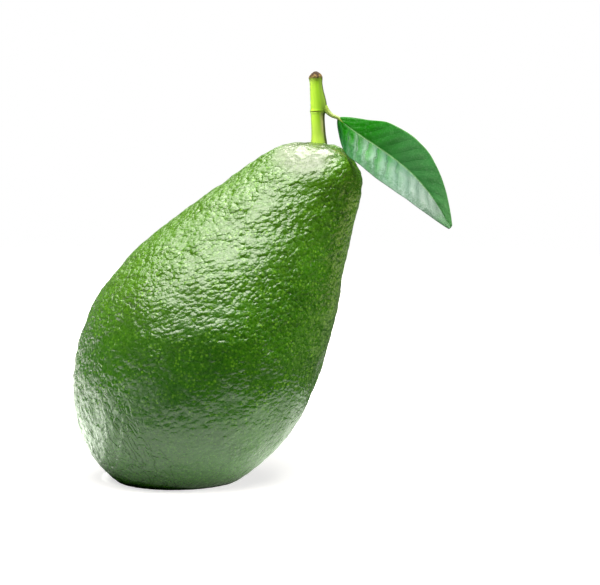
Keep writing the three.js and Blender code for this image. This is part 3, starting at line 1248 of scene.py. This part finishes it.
leafLook = {
    "deep": (0.007, 0.16, 0.001, 1),
    "green": (0.012, 0.21, 0.003, 1),
    "paintedSheen": (0.06, 0.26, 0.07, 1),
    "wearAndLitTip": (0.17, 0.43, 0.16, 1),
    "pale": (0.17, 0.29, 0.25, 1),
    "paler": (0.31, 0.40, 0.36, 1),
    "mark": (0.012, 0.10, 0.03, 1),
    "vein": (0.26, 0.46, 0.22, 1),
    "edge": (0.26, 0.42, 0.16, 1),
    "through": (0.2, (0.08, 0.5, 0.02, 1)),
    "roughness": 0.36,
    "mottledRoughness": 0.12,
    "marginRoughness": 0.1,
    "specular": 0.18,
    "coat": 0.75,
    "coatRoughness": 0.3,
    "patchNoise": (6, 2),
    "patchSpan": (0.3, 0.7),
    "paintedSheenFrom": (0.15, 0.6),
    "paintedSheenWaver": 0.3,
    "mottleNoise": (1.0, 3, 0.6),
    "wornSpan": (0.5, 0.8),
    "wornShare": (0.35, 0.15),        # everywhere, and how much more at the tip
    "tipFrom": (0.74, 1),
    "litTipShare": 0.62,
    "speckNoise": (0.5, 2, 0.7),
    "speckSpan": (0.47, 0.6),
    "speckShare": (0.08, 0.24),        # everywhere, and how much more onward and outward
    "worseFrom": (0.25, 0.6),
    "worseOut": (0.15, 0.6),
    "lowerFrom": (0, 0.04),
    "nearUpTo": (0.35, 0.7),
    "glossyFrom": (0.1, 0.32),
    "glossyWaver": 0.6,
    "paintedReflectionShare": 0.9,
    "gapLoss": 0.85,
    "nearLoss": 0.35,
    "dullFrom": (0.86, 0.97),
    "dullLoss": 0.7,
    "palerFrom": (0.5, 0.9),
    "bandSlant": (0.11, 0.06),
    "bandNoise": (3.2, 2),
    "bandWaver": 1.3,
    "bandSpan": (0.1, 0.75),
    "lineFrom": (0.8, 0.9),
    "lineUpTo": (0.93, 1),
    "lineShare": 0.8,
    "streakNoise": (1.3, 3, 0.6),
    "streakAcross": 1.6,        # how far the noise runs over half the blade
    "streakSpan": (0.5, 0.62),
    "streakShare": 0.25,
    "speckMarkShare": 0.12,
    "marginFrom": (0.5, 0.85),
    "marginWaver": 0.6,
    "marginSpan": (0.4, 0.55),
    "marginShares": (0.3, 0.2, 0.45),        # in the mottle, in specks and near the base
    "marginLoss": 0.6,
    "ribUpTo": (0.015, 0.06),
    "ribShare": 0.55,
    "edgeFrom": (0.955, 0.99),
    "edgeShare": 0.3,
    "streakRise": 0.2,
    "bandRise": 0.35,
    "ribbedUpTo": (0.3, 0.7),
    "ribbedLoss": 0.75,
    "veinSink": 0.03,
    "grainNoise": (0.5, 3, 0.6),
    "grain": 0.04,
}


def bladeAxes(leaf):
    # the place along the blade (0 to 1) and across it (-1 to 1)
    share, across = leaf.axes(leaf.node("ShaderNodeUVMap", {"uv_map": "UVMap"}).outputs[0])[:2]
    return share, across * 2 - 1


def sideVeins(leaf, share, out):
    s = leafShape
    phase = (share - s["veinSlant"] * out) * s["veinPairs"]
    away = abs((phase + 0.5).fraction() - 0.5)
    line = (1 - leaf.span(away, *s["veinEdge"])) * leaf.span(out, *s["veinStart"])
    return line * (1 - leaf.span(out, *s["veinEnd"]))


def leafStreaks(leaf, share, out):
    # uneven streaks that run out from the midrib and a little towards the tip
    onward = (share - leafShape["veinSlant"] * out) * (leafLength() / mm)
    outward = out * leafLook["streakAcross"]
    where = leaf.node("ShaderNodeCombineXYZ", None, {0: onward, 1: outward}).outputs[0]
    return leaf.noise(where, *leafLook["streakNoise"])


def leafBands(leaf, share, out):
    # bands that brighten towards the tip and end at a dark line, one for each side vein; in the colour they
    # are painted reflection, and the line painted shade
    look = leafLook
    slant, bend = look["bandSlant"]
    phase = (share - out * (slant + bend * out)) * leafShape["veinPairs"]
    ramp = uneven(phase, look["bandWaver"], leaf.noise(leaf.place(), *look["bandNoise"])).fraction()
    line = leaf.span(ramp, *look["lineFrom"]) * (1 - leaf.span(ramp, *look["lineUpTo"]))
    return leaf.span(ramp, *look["bandSpan"]), line


def bladeGreen(leaf, share, out, lower, mottle, speck):
    # deep green near the base, greyer onward as a painted sheen, worn in specks, and paler at the tip by
    # wear and painted light
    look = leafLook
    patches = leaf.noise(leaf.place(), *look["patchNoise"])
    # painted sheen: greyer green onward along the blade
    paintedSheen = leaf.span(uneven(share, look["paintedSheenWaver"], patches), *look["paintedSheenFrom"])
    tip = leaf.span(share, *look["tipFrom"])
    some, tipMore = look["wornShare"]
    # the tip's extra share is painted light
    wearAndLitTip = leaf.span(mottle, *look["wornSpan"]) * (some + tipMore * tip) + look["litTipShare"] * tip
    few, worseMore = look["speckShare"]
    worse = leaf.span(share, *look["worseFrom"]) * leaf.span(out, *look["worseOut"])
    colour = leaf.mix(leaf.span(patches, *look["patchSpan"]), look["deep"], look["green"])
    colour = leaf.mix(paintedSheen, colour, look["paintedSheen"])
    colour = leaf.mix(wearAndLitTip, colour, look["wearAndLitTip"])
    return leaf.mix(speck * (few + worseMore * worse) * (1 - lower), colour, look["wearAndLitTip"])


def glossMask(leaf, share, lower, streaks, band, near):
    # the lower half's mirrored light, in bands near the base and duller at the tip
    look = leafLook
    onward = leaf.span(uneven(share, look["glossyWaver"], streaks), *look["glossyFrom"])
    banded = 1 - look["gapLoss"] * near * (1 - band)
    tip = 1 - look["dullLoss"] * leaf.span(share, *look["dullFrom"])
    return lower * onward * banded * tip * (1 - look["nearLoss"] * near)


def darkMarks(leaf, lower, streaks, line, speck, near):
    look = leafLook
    # the lines at the side veins are painted shade between the painted reflection bands
    streaked = leaf.span(streaks, *look["streakSpan"]) * look["streakShare"]
    return ((line * look["lineShare"] + streaked) * near + speck * look["speckMarkShare"]) * lower


def leafHeight(leaf, share, out, lower, streaks, band):
    look = leafLook
    ribbed = 1 - look["ribbedLoss"] * leaf.span(share, *look["ribbedUpTo"])
    ridges = (streaks * look["streakRise"] + band * look["bandRise"]) * lower * ribbed
    grain = leaf.noise(leaf.place(), *look["grainNoise"]) * look["grain"]
    return ridges - sideVeins(leaf, share, out) * look["veinSink"] + grain


def bladeMaterial():
    # for both faces: the lower half mirrors the light, with pale bands of painted reflection in its colour,
    # and the upper half is green with wear and a painted sheen
    look = leafLook
    leaf = Maker("leafBlade")
    share, across = bladeAxes(leaf)
    out = abs(across)
    lower = leaf.span(-across, *look["lowerFrom"])
    near = 1 - leaf.span(share, *look["nearUpTo"])
    where = leaf.place()
    mottle = leaf.noise(where, *look["mottleNoise"])
    speck = leaf.span(leaf.noise(where, *look["speckNoise"]), *look["speckSpan"])
    streaks = leafStreaks(leaf, share, out)
    band, line = leafBands(leaf, share, out)
    glossy = glossMask(leaf, share, lower, streaks, band, near)
    margin = leaf.span(uneven(out, look["marginWaver"], mottle), *look["marginFrom"]) * lower
    mottled, specked, based = look["marginShares"]
    shown = leaf.span(mottle, *look["marginSpan"]) * mottled + speck * specked + near * based
    rib = 1 - leaf.span(out, *look["ribUpTo"])
    edge = leaf.span(out, *look["edgeFrom"]) * (1 - lower)
    pale = leaf.mix(leaf.span(share, *look["palerFrom"]), look["pale"], look["paler"])
    colour = bladeGreen(leaf, share, out, lower, mottle, speck)
    # painted reflection: pale bands on the lower half
    colour = leaf.mix(glossy * look["paintedReflectionShare"], colour, pale)
    colour = leaf.mix(darkMarks(leaf, lower, streaks, line, speck, near), colour, look["mark"])
    colour = leaf.mix(margin * shown, colour, look["mark"])
    colour = leaf.mix(rib * look["ribShare"], colour, look["vein"])
    colour = leaf.mix(edge * look["edgeShare"], colour, look["edge"])
    rough = uneven(look["roughness"] + look["marginRoughness"] * margin, look["mottledRoughness"], mottle)
    sockets = {
        "Base Color": colour,
        "Roughness": rough,
        "Normal": leaf.bump(leafHeight(leaf, share, out, lower, streaks, band), 1 * mm),
        "Specular IOR Level": look["specular"],
        "Coat Weight": glossy * (1 - look["marginLoss"] * margin) * look["coat"],
        "Coat Roughness": look["coatRoughness"],
    }
    return leaf.finish(sockets, look["through"])


stemLook = {
    "share": 0.48,        # of the stalk's green and pale
    "litRootShare": 0.75,
    "rootUpTo": (2.4, 3.8),
    "mottleNoise": (1.5, 3, 0.6),
    "grainNoise": (0.5, 2),
    "grain": 0.08 * mm,
    "roughness": 0.42,
    "mottledRoughness": 0.1,
}


def stemMaterial():
    look = stemLook
    stem = Maker("leafStemBark")
    where = stem.place(turned=(0, stalkShape["lean"], 0), centre=stalkFoot)
    mottle = stem.noise(where, *look["mottleNoise"])
    out = stem.measure("LENGTH", stem.vectors("MULTIPLY", where, (1, 1, 0)))
    green, pale = stalkLook["green"], stalkLook["pale"]
    colour = stem.mix(mottle, dimmed(green, look["share"]), dimmed(pale, look["share"]))
    # painted light: a brighter green at the root, where a shadow falls
    colour = stem.mix(stem.span(out, *look["rootUpTo"]), dimmed(green, look["litRootShare"]), colour)
    normal = stem.bump(stem.noise(where, *look["grainNoise"]), look["grain"])
    rough = uneven(look["roughness"], look["mottledRoughness"], mottle)
    return stem.finish({"Base Color": colour, "Roughness": rough, "Normal": normal})


addFruit()
addStalk()
addLeaf()
